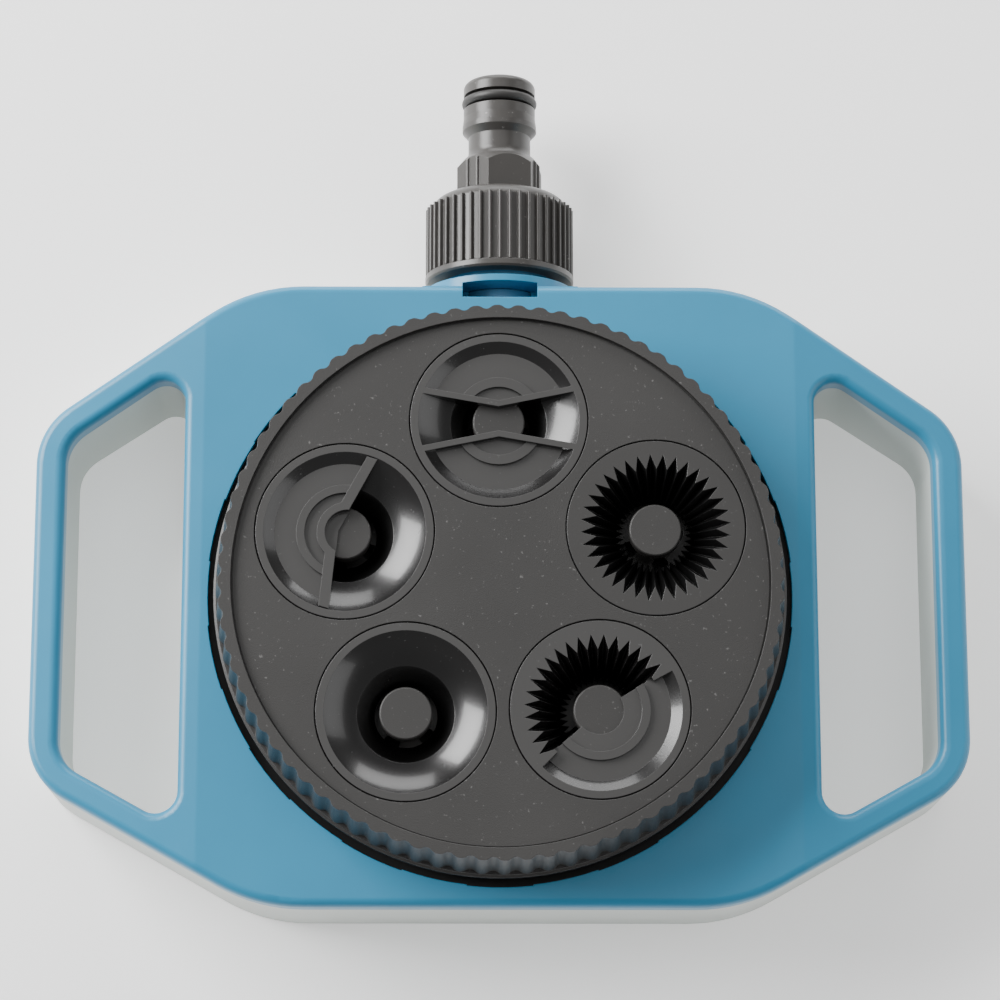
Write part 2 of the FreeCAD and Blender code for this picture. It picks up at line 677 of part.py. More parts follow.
def scallop_wire(radius, height):
    """One loop of bumps: a round bump and a round valley in turn."""
    count = int(size("scallop_count"))
    share = size("scallop_share")
    valley = radius - size("scallop_depth")
    flank = radius - size("scallop_depth") * share * 2

    def point(reach, step):
        angle = 2 * math.pi * step / count
        return Vector(reach * math.sin(angle), reach * math.cos(angle), height)
    arcs = []
    for step in range(count):
        arcs.append(Part.Arc(point(flank, step - share), point(radius, step), point(flank, step + share)))
        arcs.append(Part.Arc(point(flank, step + share), point(valley, step + 0.5),
                             point(flank, step + 1 - share)))
    return Part.Wire([arc.toShape() for arc in arcs])


def scallop_cutter():
    """What stands outside the scallops: a ring with the bumps as its inner wall."""
    bottom, top = size("scallop_bottom"), size("rim_top") + 0.5
    peak = size("scallop_peak")
    low_wire = scallop_wire(peak + size("scallop_flare"), bottom)
    high_wire = scallop_wire(peak, top)
    core = Part.makeLoft([low_wire, high_wire], True, True)
    ring = Part.makeCylinder(peak + 6, top - bottom, Vector(0, 0, bottom))
    cutter = document.addObject("Part::Feature", "scallop_cutter")
    cutter.Shape = ring.cut(core)
    return cutter


def dial_cap():
    body = new_body("dial_cap_blank", part=False)
    flare = "scallop_peak + scallop_flare"
    groove = "face_top - face_groove"
    profile = [("0", "face_top - cap_wall"), ("0", "face_top"), ("face_edge - face_groove", "face_top"),
               ("face_edge - face_groove", groove), ("face_edge", groove),
               ("face_edge", "rim_top"), ("scallop_peak", "rim_top"), (flare, "scallop_bottom"),
               (flare, "lip_top + 0.3"), ("lip_radius", "lip_top"), ("lip_radius", "lip_bottom"),
               ("skirt_radius", "lip_bottom - 0.6"), ("skirt_radius", "skirt_bottom"),
               ("skirt_radius - cap_wall", "skirt_bottom"), ("skirt_radius - cap_wall", "lip_bottom"),
               ("face_edge + 0.4", "face_top - cap_wall")]
    spin(body, outline(body, "XZ", profile))
    hole = circles(body, "XY", [("nozzle_radius + nozzle_gap", "0", "pitch_radius")], "rim_top")
    around(body, pocket(body, hole), "5")
    spot = ("boss_circle * sin(36)", "boss_circle * cos(36)")
    boss = circles(body, "XY", [("boss_outer",) + spot, ("screw_pilot",) + spot], "plate_top")
    around(body, pad(body, boss, "face_top - cap_wall / 2 - plate_top"), "5")
    cutter = scallop_cutter()
    cap = document.addObject("Part::Cut", "dial_cap")
    cap.Base = body
    cap.Tool = cutter
    cap.Label = "dial_cap"
    dial_place(cap)
    parts.append(cap)


def valve_plate():
    body = new_body("valve_plate")
    profile = [("1.3", "spindle_bottom"), ("spindle_radius", "spindle_bottom"),
               ("spindle_radius", "plate_bottom"), ("plate_radius", "plate_bottom"),
               ("plate_radius", "plate_top"), ("0", "plate_top"), ("0", "plate_top - 2"),
               ("1.3", "plate_top - 2")]
    spin(body, outline(body, "XZ", profile))
    port = circles(body, "XY", [("port_radius", "0", "pitch_radius")])
    around(body, pocket(body, port, backwards=True), "5")
    spot = ("boss_circle * sin(36)", "boss_circle * cos(36)")
    around(body, pocket(body, circles(body, "XY", [("1.6",) + spot]), backwards=True), "5")
    head = pocket(body, circles(body, "XY", [("2.9",) + spot], "plate_bottom - 1"), "2.6", backwards=True)
    around(body, head, "5")
    spot = ("notch_circle * sin(36)", "notch_circle * cos(36)")
    notch = pocket(body, circles(body, "XY", [("1.9",) + spot], "plate_bottom - 1"), "2", backwards=True)
    around(body, notch, "5")
    dial_place(body)


def nozzle_blank(name, closed=False):
    """A solid insert with its chamber; a closed one covers the edge of its button."""
    body = new_body("nozzle_" + name, part=False)
    profile = [("chamber_radius", "nozzle_bottom"), ("nozzle_radius", "nozzle_bottom"),
               ("nozzle_radius", "face_top - nozzle_round"), ("nozzle_radius - nozzle_round", "face_top")]
    if closed:
        profile += [("cover_bore", "face_top"), ("cover_bore", BUTTON_CEILING)]
        profile.append(("pin_bore", BUTTON_CEILING))
    else:
        profile.append(("pin_bore", "face_top"))
    profile += [("pin_bore", "chamber_top"), ("chamber_radius", "chamber_top")]
    spin(body, outline(body, "XZ", profile))
    return body


def bowl_cut(body):
    """The open cup: a shallow round bowl, then the steep throat down to the chamber."""
    profile = [("0", "face_top + 1"), ("0", "chamber_top - 1"), ("slot_radius", "chamber_top - 1"),
               ("slot_radius", "chamber_top"),
               ("throat_radius", "face_top - throat_depth", "bowl_radius", "face_top - floor_depth"),
               ("cup_radius", "face_top"), ("cup_radius", "face_top + 1")]
    return spin_cut(body, outline(body, "XZ", profile))


def star_wire(tip, root, first, last, height):
    """Teeth from angle to angle; an open sector is closed through the nozzle's axis."""
    pitch = size("tooth_pitch")

    def point(reach, angle):
        return Vector(reach * math.sin(math.radians(angle)), reach * math.cos(math.radians(angle)), height)
    points = []
    for tooth in range(round((last - first) / pitch)):
        points.append(point(root, first + tooth * pitch))
        points.append(point(tip, first + (tooth + 0.5) * pitch))
    if last - first < 360:
        points += [point(root, last), point(0, 0)]
    return Part.makePolygon(points + points[:1])


def star_cutter(name, first, last):
    """A toothed funnel that narrows downwards to the chamber's mouth."""
    tip, root = size("tooth_tip"), size("tooth_root")
    top, bottom = size("face_top"), size("chamber_top")
    narrow = size("slot_radius") / root
    over = 0.5
    spread = 1 + (1 - narrow) * over / (top - bottom)
    high = star_wire(tip * spread, root * spread, first, last, top + over)
    low = star_wire(tip * narrow, root * narrow, first, last, bottom)
    mouth = star_wire(tip * narrow, root * narrow, first, last, bottom - 1)
    cutter = document.addObject("Part::Feature", name + "_cutter")
    cutter.Shape = Part.makeLoft([low, high], True, True).fuse(Part.makeLoft([mouth, low], True, True))
    return cutter


def placed_nozzle(piece, name, number):
    piece.Label = "nozzle_" + name
    dial_place(piece, number)
    parts.append(piece)


def cut_star(body, name, number, first, last):
    body.Label = name + "_blank"
    cut = document.addObject("Part::Cut", name + "_insert")
    cut.Base = body
    cut.Tool = star_cutter(name, first, last)
    placed_nozzle(cut, name, number)


def full_star_nozzle(number):
    cut_star(nozzle_blank("full_star"), "full_star", number, 0, 360)


def half_star_nozzle(number):
    """Teeth towards the dial's axis, a shallow floor with a raised ring on the outer side."""
    body = nozzle_blank("half_star", closed=True)
    floor, ring = "face_top - floor_depth", "face_top - floor_depth + step_height"
    inner = [("0", "face_top + 1"), ("0", floor), ("9.3", floor), ("9.3", ring), ("11.2", ring),
             ("11.2", floor), ("tooth_root", floor), ("tooth_root", "face_top + 1")]
    spin_cut(body, outline(body, "YZ", inner), "half_star_floor")
    wall = [("tooth_root - 0.5", "face_top + 1"), ("tooth_root - 0.5", floor), ("bowl_radius", floor),
            ("cup_radius", "face_top"), ("cup_radius", "face_top + 1")]
    spin_cut(body, outline(body, "YZ", wall), "half_star_wall")
    sector = size("half_star_teeth") * size("tooth_pitch")
    cut_star(body, "half_star", number, 180 - sector / 2, 180 + sector / 2)


def bend(side, waist, end, offset="0", shift="0", share="1"):
    """A line across the cup, bent at its middle: left end, middle and right end."""
    outer = f"{side}({waist} + ({end} - ({waist})) * {share} + {offset}) + {shift}"
    middle = ("0", f"{side}({waist} + {offset}) + {shift}")
    return [(f"-rib_reach * {share}", outer), middle, (f"rib_reach * {share}", outer)]


def closed_floor(body, side, waist, end, shift="0"):
    """The shallow floor outside a bent line, up to the wall of the cup."""
    left, middle, right = bend(side, waist, end, shift=shift)
    edge = right + ("0", f"{side}(bowl_radius + 1)")
    floor = outline(body, "XY", [left, middle, edge], "chamber_top + 1")
    pad(body, floor, "face_top - floor_depth - chamber_top - 1")


def bent_rib(body, side, waist, end, width, shift="0"):
    """A bent rib across the cup, up to face level."""
    near = bend(side, waist, end, f"(-{width} / 2)", shift)
    far = bend(side, waist, end, f"({width} / 2)", shift)
    rib = outline(body, "XY", near + far[::-1], "chamber_top + 1")
    pad(body, rib, "face_top - chamber_top - 1")


def ring_on_floor(body, inner, outer, top, shift="0"):
    """A ring that stands on the shallow floors."""
    ring = circles(body, "XY", [(inner, "0", shift), (outer, "0", shift)], "face_top - floor_depth - 0.5")
    pad(body, ring, f"{top} + 0.5")


def clear_channel(body, corners):
    """Clears what stands on the floors from the open part of the cup."""
    pocket(body, outline(body, "XY", corners, "face_top + 1"), "floor_depth + 2")


def button_bore(body):
    """The hole for the button, under ribs and walls that cross over it."""
    hole = circles(body, "XY", [("pin_bore", "0", "0")], BUTTON_CEILING)
    pocket(body, hole, "face_top - chamber_top")


def strip_nozzle(number):
    """Two bent ribs with the open cup between them and shallow floors outside."""
    body = nozzle_blank("strip")
    bowl_cut(body)
    for side in ("", "-"):
        closed_floor(body, side, "strip_waist", "strip_end", "strip_shift")
    ring_on_floor(body, "7.9", "outer_ring", "step_height")
    front, rear = [bend(side, "strip_waist", "strip_end", "0", "strip_shift", "channel_share")
                   for side in ("-", "")]
    clear_channel(body, front + rear[::-1])
    for side in ("", "-"):
        bent_rib(body, side, "strip_waist", "strip_end", "strip_rib", "strip_shift")
    button_bore(body)
    placed_nozzle(body, "strip", number)


def half_cone_nozzle(number):
    """One bent rib with a curved wall around the button; the cup is open towards the dial's axis."""
    body = nozzle_blank("half_cone")
    bowl_cut(body)
    closed_floor(body, "", "cone_waist", "cone_end")
    ring_on_floor(body, "9", "outer_ring + 0.75", "step_height")
    ring_on_floor(body, "shelter_inner", "shelter_outer", "floor_depth", "-shelter_shift")
    left, middle, right = bend("", "cone_waist", "cone_end", share="channel_share")
    clear_channel(body, [right, middle, left + ("0", "-rib_reach * channel_share")])
    bent_rib(body, "", "cone_waist", "cone_end", "cone_rib")
    shelter = circles(body, "XY", [("shelter_inner", "0", "-shelter_shift")], "face_top + 1")
    pocket(body, shelter, "pin_drop + 0.5")
    button_bore(body)
    placed_nozzle(body, "half_cone", number)


def full_cone_nozzle(number):
    body = nozzle_blank("full_cone")
    bowl_cut(body)
    placed_nozzle(body, "full_cone", number)


def nozzle_pin(name, number):
    """A flat button on a stem; its foot has four holes for the water."""
    body = new_body("pin_" + name)
    foot_top, button = "(plate_top + 1.7)", "(face_top - pin_drop)"
    profile = [("0", "plate_top"), ("chamber_radius - 0.1", "plate_top"), ("chamber_radius - 0.1", foot_top),
               ("2.4", foot_top), ("3", "chamber_top - 1"), ("pin_radius - 0.3", "chamber_top + 1"),
               ("pin_radius", "chamber_top + 1.5"), ("pin_radius", f"{button} - 0.25"),
               ("pin_radius - 0.25", button), ("0", button)]
    spin(body, outline(body, "XZ", profile))
    hole = circles(body, "XY", [("1.8", "0", "5.6")], foot_top)
    around(body, pocket(body, hole), "4")
    dial_place(body, number)


def nozzle_gasket(name, number):
    body = new_body("gasket_" + name)
    profile = [("chamber_radius + 0.3", "plate_top"), ("nozzle_radius - 1", "plate_top"),
               ("nozzle_radius - 1", "nozzle_bottom"), ("chamber_radius + 0.3", "nozzle_bottom")]
    spin(body, outline(body, "XZ", profile))
    dial_place(body, number)


def nozzles():
    for number, build in enumerate((strip_nozzle, full_star_nozzle, half_star_nozzle,
                                    full_cone_nozzle, half_cone_nozzle)):
        build(number)
    for number, name in enumerate(NOZZLES):
        nozzle_pin(name, number)
        nozzle_gasket(name, number)


# ---------------------------------------------------------------- fasteners
def screw_profile(head_radius, head_height, shank_radius, length):
    """Half profile of a pan-head screw, its shank pointing down from the head's flat."""
    return [("0", f"-({length})"), (shank_radius, f"-({length}) + 0.8"), (shank_radius, "0"),
            (head_radius, "0"), (head_radius, f"({head_height}) - 0.5"),
            (f"{head_radius} - 0.5", head_height), ("0", head_height)]


def screw(label, head_radius, head_height, shank_radius, length):
    """One screw along Z, with a cross recess in its head."""
    body = new_body(label, part=False)
    spin(body, outline(body, "XZ", screw_profile(head_radius, head_height, shank_radius, length)))
    for across, along in (("1.5", "0.35"), ("0.35", "1.5")):
        corners = [(f"-{across}", f"-{along}"), (across, f"-{along}"), (across, along), (f"-{across}", along)]
        pocket(body, outline(body, "XY", corners, head_height), "1")
    return body


def screw_set(label, screw_body, spots, level, upside_down=False, turned=False):
    """Copies of one screw at each spot, as one group of solids."""
    flip = Rotation(Vector(1, 0, 0), 180) if upside_down else Rotation()
    copies = []
    for across, along in spots:
        place = Placement(Vector(size(across), size(along), size(level)), flip)
        copy = screw_body.Shape.copy()
        copy.Placement = place.multiply(copy.Placement)
        copies.append(copy)
    group = document.addObject("Part::Feature", label)
    group.Shape = Part.makeCompound(copies)
    group.Label = label
    if turned:
        group.Placement = Placement(Vector(), Rotation(Vector(0, 0, 1), size("dial_turn")))
    parts.append(group)


def fasteners():
    cap_spots = [(f"boss_circle * sin({36 + step * TURN})", f"boss_circle * cos({36 + step * TURN})")
                 for step in range(len(NOZZLES))]
    long_screw = screw("cover_screw", "2.7", "1.8", "1.15", "14")
    screw_set("cover_screws", long_screw, COVER_SCREWS, "20", upside_down=True)
    short_screw = screw("deck_screw", "2.7", "1.1", "1.15", "9")
    screw_set("deck_screws", short_screw, DECK_SCREWS, "deck_top - 1.2")
    cap_screw = screw("cap_screw", "2.7", "1.4", "1.15", "9")
    screw_set("cap_screws", cap_screw, cap_spots, "plate_bottom + 1.6", upside_down=True, turned=True)
    pivot = screw("pivot_screw_blank", "4.2", "2.2", "1.25", "9")
    screw_set("pivot_screw", pivot, [("0", "0")], "spindle_bottom - 1.2", upside_down=True, turned=True)
    washer = new_body("pivot_washer")
    profile = [("1.7", "spindle_bottom - 1.2"), ("8.4", "spindle_bottom - 1.2"),
               ("8.4", "spindle_bottom"), ("1.7", "spindle_bottom")]
    spin(washer, outline(washer, "XZ", profile))
    dial_place(washer)


# ---------------------------------------------------------------- hose connector
def coupling_nut():
    body = new_body("coupling_nut", "inlet_height")
    core = "nut_radius - rib_height"
    profile = [("nut_front", "nut_bore"), ("nut_front", "nut_radius - 0.3"),
               ("nut_front + 0.5", "nut_radius + 0.1"), ("rib_front - 0.2", "nut_radius + 0.1"),
               ("rib_front + 0.2", core), ("rib_rear", core),
               ("rib_rear", "nut_radius - 1.3", "nut_rear - 0.9", "nut_radius - 2.4"),
               ("nut_rear", "nut_radius - 5"), ("nut_rear", "shank_hole"),
               ("nut_shoulder", "shank_hole"), ("nut_shoulder", "nut_bore")]
    spin(body, outline(body, "YZ", profile), "H_Axis")
    corners = [("-0.52", f"{core} - 0.3"), ("0.52", f"{core} - 0.3"),
               ("0.34", "nut_radius - 0.15", "0", "nut_radius + 0.05"), ("-0.34", "nut_radius - 0.15")]
    rib = pad(body, outline(body, "XZ", corners, "-rib_rear"), "rib_rear - rib_front")
    around(body, rib, "rib_count", "XZ")
    return body


def hose_nipple():
    body = new_body("hose_nipple", "inlet_height")
    profile = [("flange_front", "flange_bore"), ("flange_front", "flange_radius"),
               ("flange_rear", "flange_radius"), ("flange_rear", "shank_radius"),
               ("hex_front", "shank_radius"), ("hex_front", "neck_radius + neck_flare"),
               ("hex_rear - 0.5", "neck_radius + neck_flare", "hex_rear + 0.6", "neck_radius + 0.3"),
               ("hex_rear + 2.4", "neck_radius"), ("ridge_front", "neck_radius"), ("ridge_middle - 0.2", "ridge_radius - 0.15"),
               ("ridge_middle", "ridge_radius"), ("ridge_middle + 1.2", "ridge_radius"),
               ("ridge_rear", "nose_radius"), ("groove_front", "nose_radius"),
               ("groove_front", "groove_radius"), ("groove_rear", "groove_radius"),
               ("groove_rear", "nose_radius"),
               ("nose_end - 1.8", "nose_radius", "nose_end - 0.5", "nose_radius - 0.5"),
               ("nose_end", "nose_radius - 1.8"), ("nose_end", "nose_bore"),
               ("flange_front + 1.3", "nose_bore"), ("flange_front + 1.3", "flange_bore")]
    spin(body, outline(body, "YZ", profile), "H_Axis")
    corners = [(f"hex_corner * cos(hex_turn + {60 * step})", f"hex_corner * sin(hex_turn + {60 * step})")
               for step in range(6)]
    hexagon = new_sketch(body, "XZ", "-hex_rear")
    add_outline(hexagon, corners)
    add_circle(hexagon, "neck_radius - 0.3")
    pad(body, hexagon, "hex_rear - hex_front")
    flat = "hex_corner * cos(30)"
    beads = [("bead_radius", f"{flat} * cos(hex_turn + 90) + {side} * sin(hex_turn + 90)",
              f"{flat} * sin(hex_turn + 90) - {side} * cos(hex_turn + 90)") for side in (-1.6, 1.6)]
    bead = pad(body, circles(body, "XZ", beads, "-hex_rear"), "hex_rear - hex_front")
    around(body, bead, "3", "XZ")
    chamfer = [("hex_chamfer", "hex_corner + 0.7"), ("hex_chamfer", "hex_corner - 0.1"),
               ("hex_rear", "neck_radius + neck_flare"), ("hex_rear + 1", "neck_radius + neck_flare"),
               ("hex_rear + 1", "hex_corner + 0.7")]
    spin_cut(body, outline(body, "YZ", chamfer), axis="H_Axis")
    return body


def ring_piece(label, front, rear, inner, outer):
    """A flat ring around the hose axis."""
    body = new_body(label, "inlet_height")
    spin(body, outline(body, "YZ", [(front, inner), (front, outer), (rear, outer), (rear, inner)]), "H_Axis")
    return body


def nose_ring():
    ring = document.addObject("Part::Torus", "nose_ring")
    ring.Label = "nose_ring"
    bind(ring, Radius1="ring_radius", Radius2="ring_section")
    ring.Placement = Placement(Vector(), Rotation(Vector(1, 0, 0), 90))
    bind(ring, **{"Placement.Base.y": "(groove_front + groove_rear) / 2",
                  "Placement.Base.z": "inlet_height"})
    parts.append(ring)


def inlet_filter():
    """A thin screen in the mouth of the nipple."""
    body = ring_piece("inlet_filter", "flange_front + 0.1", "flange_front + 1.2", "0", "7.4")
    for count, circle in (("6", "1.9"), ("12", "3.6"), ("18", "5.4")):
        hole = circles(body, "XZ", [("0.5", "0", circle)])
        around(body, pocket(body, hole), count, "XZ")


# ---------------------------------------------------------------- all pieces
def check_document():
    document.recompute()
    failed = [item.Label for item in document.Objects
              if "Invalid" in item.State or "Error" in item.State]
    failed += [piece.Label for piece in parts if piece.Shape.isNull() or not piece.Shape.isValid()]
    if failed:
        raise ValueError("these objects failed: " + ", ".join(failed))


def write_parts():
    os.makedirs("parts", exist_ok=True)
    for piece in parts:
        piece.Shape.exportStep(f"parts/{piece.Label}.step")


fill_sheet()
base_shell()
top_cover()
inner_deck()
inlet_manifold()
port_seal()
seal_spring()
click_pieces()
dial_cap()
valve_plate()
nozzles()
fasteners()
coupling_nut()
hose_nipple()
nose_ring()
ring_piece("coupling_washer", "spigot_end + 0.1", "flange_front", "5.2", "12.6")
inlet_filter()
check_document()
write_parts()
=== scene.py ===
"""Looks of the lawn sprinkler: materials on the CAD nodes, camera and studio.

Everything is in metres in the CAD frame: the origin is on the ground under the dial's axis, +Y runs
to the hose connector at the rear and +Z is up.
"""
import math

import bpy
from mathutils import Matrix, Vector

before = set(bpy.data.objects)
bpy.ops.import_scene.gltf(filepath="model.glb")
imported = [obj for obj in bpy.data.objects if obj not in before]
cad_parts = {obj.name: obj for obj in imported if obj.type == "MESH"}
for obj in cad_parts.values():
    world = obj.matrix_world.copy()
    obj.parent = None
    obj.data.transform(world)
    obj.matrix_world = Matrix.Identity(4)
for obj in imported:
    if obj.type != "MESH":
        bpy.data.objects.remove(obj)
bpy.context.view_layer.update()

MM = 0.001

# ---------------------------------------------------------------- helpers for material nodes
# Sockets of a Mix node that is set to colour
MIX_SHARE, MIX_FIRST, MIX_SECOND, MIX_RESULT = 0, 6, 7, 2
# Scales of the noise patterns, per metre
DRIFT_SCALE, PATCH_SCALE, RUB_SCALE, DUST_SCALE = 28.0, 60.0, 240.0, 1100.0
METAL_DRIFT_SCALE, METAL_PATCH_SCALE = 300.0, 900.0
DRIFT_STOPS = [(0.3, 0.0), (0.7, 1.0)]


def linear(red, green, blue):
    """Linear colour from display values of 0 to 255."""
    def channel(level):
        share = level / 255
        return share / 12.92 if share <= 0.04045 else ((share + 0.055) / 1.055) ** 2.4
    return (channel(red), channel(green), channel(blue), 1.0)


def shade(colour, factor, lift=0.0):
    """A darker or lighter colour, with no channel above 1."""
    return tuple(min(1.0, channel * factor + lift) for channel in colour[:3]) + (1.0,)


def set_inputs(node, **levels):
    """Plain values on a node's inputs; an underscore in a name stands for a space."""
    for name, level in levels.items():
        node.inputs[name.replace("_", " ")].default_value = level
    return node


def add_node(tree, kind, **levels):
    return set_inputs(tree.nodes.new(kind), **levels)


def start_material(name, **levels):
    """A new material, its node tree, and its shader with plain values on the named inputs."""
    material = bpy.data.materials.new(name)
    material.use_nodes = True
    tree = material.node_tree
    return material, tree, set_inputs(tree.nodes["Principled BSDF"], **levels)


def coordinates(tree, kind):
    return tree.nodes.new("ShaderNodeTexCoord").outputs[kind]


def noise(tree, place, scale, detail=4.0):
    node = add_node(tree, "ShaderNodeTexNoise", Scale=scale, Detail=detail, Roughness=0.55)
    tree.links.new(place, node.inputs["Vector"])
    return node.outputs["Fac"]


def ramp(tree, source, stops):
    """A grey ramp: stops are (position, level)."""
    node = tree.nodes.new("ShaderNodeValToRGB")
    elements = node.color_ramp.elements
    for element, (position, level) in zip(elements, stops, strict=True):
        element.position = position
        element.color = (level, level, level, 1)
    tree.links.new(source, node.inputs["Fac"])
    return node.outputs["Color"]


def span(tree, source, **ends):
    """Map a value from one range to another; an end that isn't given stays at 0 or 1."""
    node = add_node(tree, "ShaderNodeMapRange", **ends)
    tree.links.new(source, node.inputs["Value"])
    return node.outputs["Result"]


def upward(tree, vector):
    """The Z part of a vector."""
    node = tree.nodes.new("ShaderNodeSeparateXYZ")
    tree.links.new(vector, node.inputs["Vector"])
    return node.outputs["Z"]


def mix(tree, share, first, second):
    """Mix two colours; share, first and second are sockets or plain values."""
    node = tree.nodes.new("ShaderNodeMix")
    node.data_type = "RGBA"
    for slot, source in ((MIX_SHARE, share), (MIX_FIRST, first), (MIX_SECOND, second)):
        if hasattr(source, "links"):
            tree.links.new(source, node.inputs[slot])
        else:
            node.inputs[slot].default_value = source
    return node.outputs[MIX_RESULT]


def edge_wear(tree, rounded_normal, place, wear):
    """How rubbed a point is, in broken patches along the edges.

    An edge is where the rounded normal leaves the surface's own: wear starts at a turn of 6 degrees
    and is full at 26 degrees.
    """
    turn = tree.nodes.new("ShaderNodeVectorMath")
    turn.operation = "DOT_PRODUCT"
    tree.links.new(rounded_normal, turn.inputs[0])
    tree.links.new(tree.nodes.new("ShaderNodeNewGeometry").outputs["Normal"], turn.inputs[1])
    edges = span(tree, turn.outputs["Value"], From_Min=0.995, From_Max=0.9, To_Max=wear)
    broken = tree.nodes.new("ShaderNodeMath")
    broken.operation = "MULTIPLY"
    tree.links.new(edges, broken.inputs[0])
    patches = ramp(tree, noise(tree, place, RUB_SCALE), [(0.35, 0.45), (0.6, 1.0)])
    tree.links.new(patches, broken.inputs[1])
    return broken.outputs["Value"]


def level_faces(tree):
    """1 on faces that look straight up, 0 on walls and slopes."""
    return span(tree, upward(tree, coordinates(tree, "Normal")), From_Min=0.95, From_Max=0.99)


def plastic(name, colour, roughness, grain=0.0, grain_size=0.35, mottle=0.06, specks=0.0,
            wear=0.15, edge=0.25, coat=0.0, painted_shade_from=None, flats=None):
    """Moulded plastic: slow colour drift, grain in bump, patchy gloss, dust specks, worn bright edges,
    painted shade.

    grain_size and edge, the radius of the rounded edges, are in millimetres.
    painted_shade_from is a pair of heights in millimetres; the colour turns black from the upper to the
    lower, as painted shade deep in recesses.
    flats is the colour and roughness of level faces, whose mould is textured while the walls are polished;
    the walls keep the darker colour, which is painted shade.
    """
    dust_starts, dust_is_full = 0.71 - 0.03 * specks, 0.78
    glossier, duller = 0.05, 0.07
    grain_depth = 0.06 * MM
    material, tree, shader = start_material(name)
    place = coordinates(tree, "Object")

    drift = ramp(tree, noise(tree, place, DRIFT_SCALE), DRIFT_STOPS)
    base = mix(tree, drift, shade(colour, 1 - mottle), shade(colour, 1 + mottle))
    # Painted shade on the walls: level faces get the plastic's own matte colour, the walls keep the darker
    # one.
    if flats:
        level = level_faces(tree)
        textured = mix(tree, drift, shade(flats[0], 1 - mottle), shade(flats[0], 1 + mottle))
        base = mix(tree, level, base, textured)
    if specks:
        dust = ramp(tree, noise(tree, place, DUST_SCALE, 2.0), [(dust_starts, 0.0), (dust_is_full, 1.0)])
        base = mix(tree, dust, base, shade(colour, 2.2, 0.05))
    rounded = add_node(tree, "ShaderNodeBevel", Radius=edge * MM)
    rounded.samples = 4
    normal = rounded.outputs["Normal"]
    base = mix(tree, edge_wear(tree, normal, place, wear), base, shade(colour, 1.4, 0.09))
    # Painted shade: the colour runs to black going down into deep recesses, such as the nozzle throats.
    if painted_shade_from:
        upper, lower = (height * MM for height in painted_shade_from)
        depth = span(tree, upward(tree, place), From_Max=upper, From_Min=lower)
        base = mix(tree, depth, shade(colour, 0.04), base)
    tree.links.new(base, shader.inputs["Base Color"])

    rough = span(tree, noise(tree, place, PATCH_SCALE, 5.0),
                 To_Min=roughness - glossier, To_Max=roughness + duller)
    if flats:
        rough = mix(tree, level, rough, (flats[1], flats[1], flats[1], 1.0))
    tree.links.new(rough, shader.inputs["Roughness"])
    if coat:
        set_inputs(shader, Coat_Weight=coat, Coat_Roughness=0.1)

    if grain:
        bump = add_node(tree, "ShaderNodeBump", Strength=grain, Distance=grain_depth)
        tree.links.new(noise(tree, place, 1.0 / (grain_size * MM), 3.0), bump.inputs["Height"])
        tree.links.new(normal, bump.inputs["Normal"])
        normal = bump.outputs["Normal"]
    tree.links.new(normal, shader.inputs["Normal"])
    return material


def metal(name, colour, roughness):
    """Bare metal with a little drift in colour and gloss."""
    glossier, duller = 0.08, 0.1
    material, tree, shader = start_material(name, Metallic=1.0)
    place = coordinates(tree, "Object")
    drift = ramp(tree, noise(tree, place, METAL_DRIFT_SCALE), DRIFT_STOPS)
    tree.links.new(mix(tree, drift, shade(colour, 0.85), colour), shader.inputs["Base Color"])
    rough = ramp(tree, noise(tree, place, METAL_PATCH_SCALE),
                 [(0.2, roughness - glossier), (0.8, roughness + duller)])
    tree.links.new(rough, shader.inputs["Roughness"])
    return material


# ---------------------------------------------------------------- materials on the CAD nodes
BLUE = plastic("blue_cover", linear(38, 128, 165), 0.34, grain=0.12, grain_size=0.5, mottle=0.05,
               wear=0.12, edge=0.35)
GREY = plastic("grey_base", linear(200, 206, 202), 0.5, grain=0.2, grain_size=0.5, mottle=0.03, wear=0.1)
BLACK = plastic("black_inside", linear(10, 11, 12), 0.5, grain=0.2, wear=0.0)
# The tube is the same blue plastic as the cover; its lighter colour is painted light on it in the shaded
# window.
PAINTED_LIGHT_TUBE = plastic("blue_tube", linear(90, 140, 170), 0.3, grain=0.1)
MATTE = linear(47, 46, 45)
DIAL = plastic("dark_dial", MATTE, 0.42, grain=0.8, grain_size=0.35, mottle=0.1, specks=1.2,
               wear=0.5, edge=0.2)
BUTTON = plastic("dark_button", MATTE, 0.4, grain=0.4, mottle=0.08, specks=1.2, wear=0.4)
# The inserts' walls are the same dark plastic as their level faces; their darker colour is painted shade,
# and the pair of heights paints shade deep in the throats.
INSERT = plastic("dark_insert", linear(16, 15, 15), 0.25, grain=0.1, grain_size=0.6, mottle=0.08,
                 specks=0.5, wear=0.5, coat=0.35, edge=0.18, painted_shade_from=(51.3, 48.5), flats=(MATTE, 0.42))
STAR = plastic("dark_star_insert", linear(12, 12, 12), 0.34, grain=0.15, grain_size=0.6, mottle=0.08,
               specks=0.5, wear=0.5, edge=0.18, painted_shade_from=(52.8, 50.5), flats=(MATTE, 0.42))
CONNECTOR = plastic("grey_connector", linear(60, 58, 56), 0.3, grain=0.3, grain_size=0.4, mottle=0.08,
                    specks=0.6, wear=0.45, edge=0.2)
WHITE = plastic("natural_white", linear(225, 224, 218), 0.45, grain=0.1)
RED = plastic("red_rubber", linear(150, 24, 24), 0.55, grain=0.3)
RUBBER = plastic("black_rubber", linear(40, 39, 38), 0.45, grain=0.3)
STEEL = metal("stainless_steel", linear(190, 190, 188), 0.3)

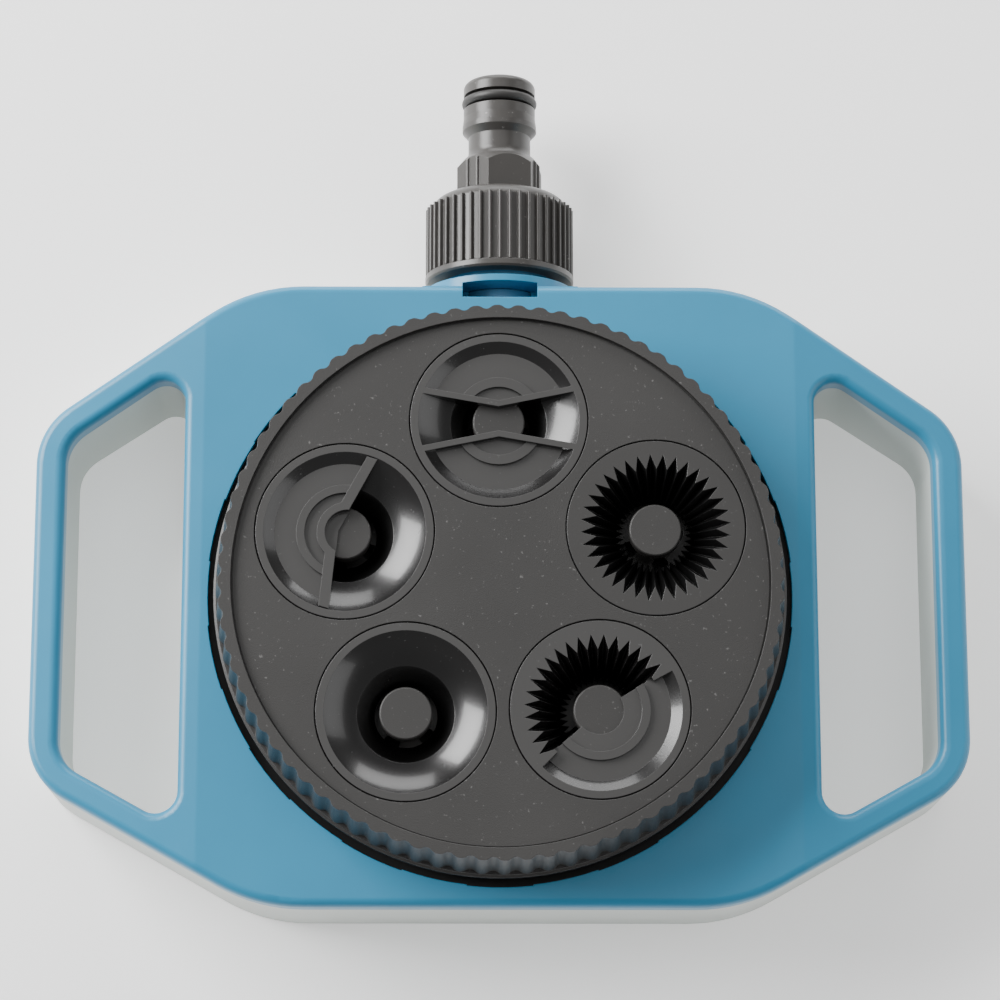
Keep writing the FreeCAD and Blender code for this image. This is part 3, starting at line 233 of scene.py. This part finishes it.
FINISH = {
    "top_cover": BLUE, "base_shell": GREY, "inner_deck": BLACK, "inlet_manifold": PAINTED_LIGHT_TUBE,
    "port_seal": RED, "seal_spring": STEEL, "click_spring": STEEL, "click_plunger": WHITE,
    "dial_cap": DIAL, "valve_plate": BLACK, "cover_screws": STEEL, "deck_screws": STEEL,
    "cap_screws": STEEL, "pivot_screw": STEEL, "pivot_washer": STEEL, "coupling_nut": CONNECTOR,
    "hose_nipple": CONNECTOR, "nose_ring": RUBBER, "coupling_washer": RUBBER, "inlet_filter": WHITE,
}
for spray in ("strip", "full_star", "half_star", "full_cone", "half_cone"):
    FINISH["nozzle_" + spray] = STAR if spray == "full_star" else INSERT
    FINISH["pin_" + spray] = BUTTON
    FINISH["gasket_" + spray] = RUBBER

for name, material in FINISH.items():
    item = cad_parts[name]
    if not item.material_slots:
        item.data.materials.append(material)
    for slot in item.material_slots:
        slot.material = material


# ---------------------------------------------------------------- camera
def place_camera():
    """A long lens almost straight above the dial, a little towards the front, fitted to the photo."""
    tilt, yaw, distance = math.radians(13.007), math.radians(-0.65), 0.76374
    target = Vector((-0.00023, 0.01799, 0.05324))
    back = Vector((math.sin(yaw) * math.cos(tilt), -math.sin(tilt), math.cos(yaw) * math.cos(tilt)))
    back.normalize()
    right = Vector((0, 1, 0)).cross(back).normalized()
    up = back.cross(right)
    data = bpy.data.cameras.new("camera")
    data.lens = 122.85
    data.sensor_width = 36
    data.clip_end = 20
    camera = bpy.data.objects.new("camera", data)
    turn = Matrix((right, up, back)).transposed().to_4x4()
    camera.matrix_world = Matrix.Translation(target + back * distance) @ turn
    bpy.context.scene.collection.objects.link(camera)
    bpy.context.scene.camera = camera


# ---------------------------------------------------------------- studio
# Name, direction from the origin, distance, width, height, power in watts
SOFTBOXES = (
    ("key", (-0.76, 0.41, 0.52), 1.3, 1.0, 0.75, 40),
    ("right_card", (0.92, -0.05, 0.4), 1.3, 1.5, 0.8, 6),
    ("rear_card", (0.1, 0.95, 0.3), 1.3, 1.3, 0.55, 12),
    ("overhead", (0.06, 0.25, 0.97), 1.5, 1.1, 1.0, 3),
)


def softbox(name, direction, distance, width, height, power):
    """A rectangular light that faces the object from a direction."""
    data = bpy.data.lights.new(name, "AREA")
    data.shape = "RECTANGLE"
    data.size, data.size_y = width, height
    data.energy = power
    light = bpy.data.objects.new(name, data)
    towards = Vector(direction).normalized()
    light.location = towards * distance
    light.rotation_euler = towards.to_track_quat("Z", "Y").to_euler()
    bpy.context.scene.collection.objects.link(light)


def studio():
    """A pale floor that glows a little, an even white surrounding and the softboxes."""
    reach, floor_level = 3.0, -0.2 * MM
    paper, _, _ = start_material(
        "pale_paper", Base_Color=(0.97, 0.97, 0.97, 1), Roughness=0.9, Specular_IOR_Level=0.1,
        Emission_Color=(1, 1, 1, 1), Emission_Strength=0.38)
    mesh = bpy.data.meshes.new("floor")
    corners = [(-reach, -reach, 0), (reach, -reach, 0), (reach, reach, 0), (-reach, reach, 0)]
    mesh.from_pydata(corners, [], [(0, 1, 2, 3)])
    mesh.materials.append(paper)
    floor = bpy.data.objects.new("floor", mesh)
    floor.location.z = floor_level
    bpy.context.scene.collection.objects.link(floor)

    world = bpy.data.worlds.new("studio")
    world.use_nodes = True
    set_inputs(world.node_tree.nodes["Background"], Color=(1, 1, 1, 1), Strength=0.34)
    bpy.context.scene.world = world

    for light in SOFTBOXES:
        softbox(*light)


place_camera()
studio()
